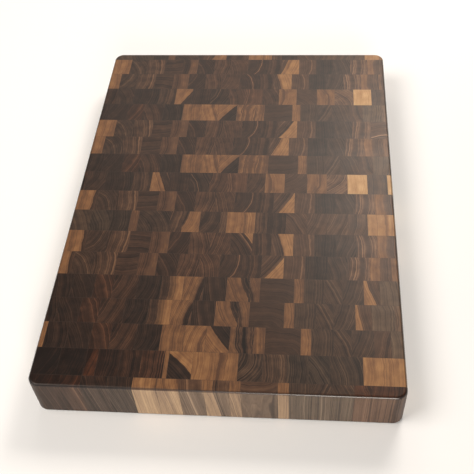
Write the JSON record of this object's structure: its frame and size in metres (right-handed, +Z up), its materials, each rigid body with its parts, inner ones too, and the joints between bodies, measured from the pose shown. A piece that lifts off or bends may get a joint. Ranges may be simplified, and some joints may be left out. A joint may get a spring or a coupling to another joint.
{
  "type": "cutting board",
  "caption": "Thick end-grain walnut cutting board, glued up from rows of dark, brown and pale blocks, with rounded corners and eased edges",
  "frame": {"origin": "centre of the underside, which rests on the worktop", "axes": "+Z up out of the cutting face, +Y towards the back edge along the board's length, +X to the right along the rows"},
  "size_m": [0.356, 0.508, 0.048],
  "materials": {
    "walnut_dark_heartwood": "oiled, satin, end grain up",
    "walnut_brown_heartwood": "oiled, satin, end grain up",
    "walnut_sapwood": "oiled, satin, end grain up",
    "wood_glue": "cured brown wood glue, sanded flush"
  },
  "bodies": {
    "root": {"block_glue_films": "wood_glue", "row_01_brown_heartwood": "walnut_brown_heartwood", "row_01_dark_heartwood": "walnut_dark_heartwood", "row_01_sapwood": "walnut_sapwood", "row_02_brown_heartwood": "walnut_brown_heartwood", "row_02_dark_heartwood": "walnut_dark_heartwood", "row_02_sapwood": "walnut_sapwood", "row_03_brown_heartwood": "walnut_brown_heartwood", "row_03_dark_heartwood": "walnut_dark_heartwood", "row_03_sapwood": "walnut_sapwood", "row_04_brown_heartwood": "walnut_brown_heartwood", "row_04_dark_heartwood": "walnut_dark_heartwood", "row_04_sapwood": "walnut_sapwood", "row_05_brown_heartwood": "walnut_brown_heartwood", "row_05_dark_heartwood": "walnut_dark_heartwood", "row_05_sapwood": "walnut_sapwood", "row_06_brown_heartwood": "walnut_brown_heartwood", "row_06_dark_heartwood": "walnut_dark_heartwood", "row_06_sapwood": "walnut_sapwood", "row_07_brown_heartwood": "walnut_brown_heartwood", "row_07_dark_heartwood": "walnut_dark_heartwood", "row_07_sapwood": "walnut_sapwood", "row_08_brown_heartwood": "walnut_brown_heartwood", "row_08_dark_heartwood": "walnut_dark_heartwood", "row_08_sapwood": "walnut_sapwood", "row_09_brown_heartwood": "walnut_brown_heartwood", "row_09_dark_heartwood": "walnut_dark_heartwood", "row_09_sapwood": "walnut_sapwood", "row_10_brown_heartwood": "walnut_brown_heartwood", "row_10_dark_heartwood": "walnut_dark_heartwood", "row_10_sapwood": "walnut_sapwood", "row_11_brown_heartwood": "walnut_brown_heartwood", "row_11_dark_heartwood": "walnut_dark_heartwood", "row_11_sapwood": "walnut_sapwood", "row_12_brown_heartwood": "walnut_brown_heartwood", "row_12_dark_heartwood": "walnut_dark_heartwood", "row_12_sapwood": "walnut_sapwood", "row_13_brown_heartwood": "walnut_brown_heartwood", "row_13_dark_heartwood": "walnut_dark_heartwood", "row_13_sapwood": "walnut_sapwood", "row_14_brown_heartwood": "walnut_brown_heartwood", "row_14_dark_heartwood": "walnut_dark_heartwood", "row_14_sapwood": "walnut_sapwood", "row_15_brown_heartwood": "walnut_brown_heartwood", "row_15_dark_heartwood": "walnut_dark_heartwood", "row_15_sapwood": "walnut_sapwood", "row_16_brown_heartwood": "walnut_brown_heartwood", "row_16_dark_heartwood": "walnut_dark_heartwood", "row_16_sapwood": "walnut_sapwood", "row_17_brown_heartwood": "walnut_brown_heartwood", "row_17_dark_heartwood": "walnut_dark_heartwood", "row_17_sapwood": "walnut_sapwood", "row_18_brown_heartwood": "walnut_brown_heartwood", "row_18_dark_heartwood": "walnut_dark_heartwood", "row_18_sapwood": "walnut_sapwood", "strip_glue_films": "wood_glue"}
  },
  "joints": []
}
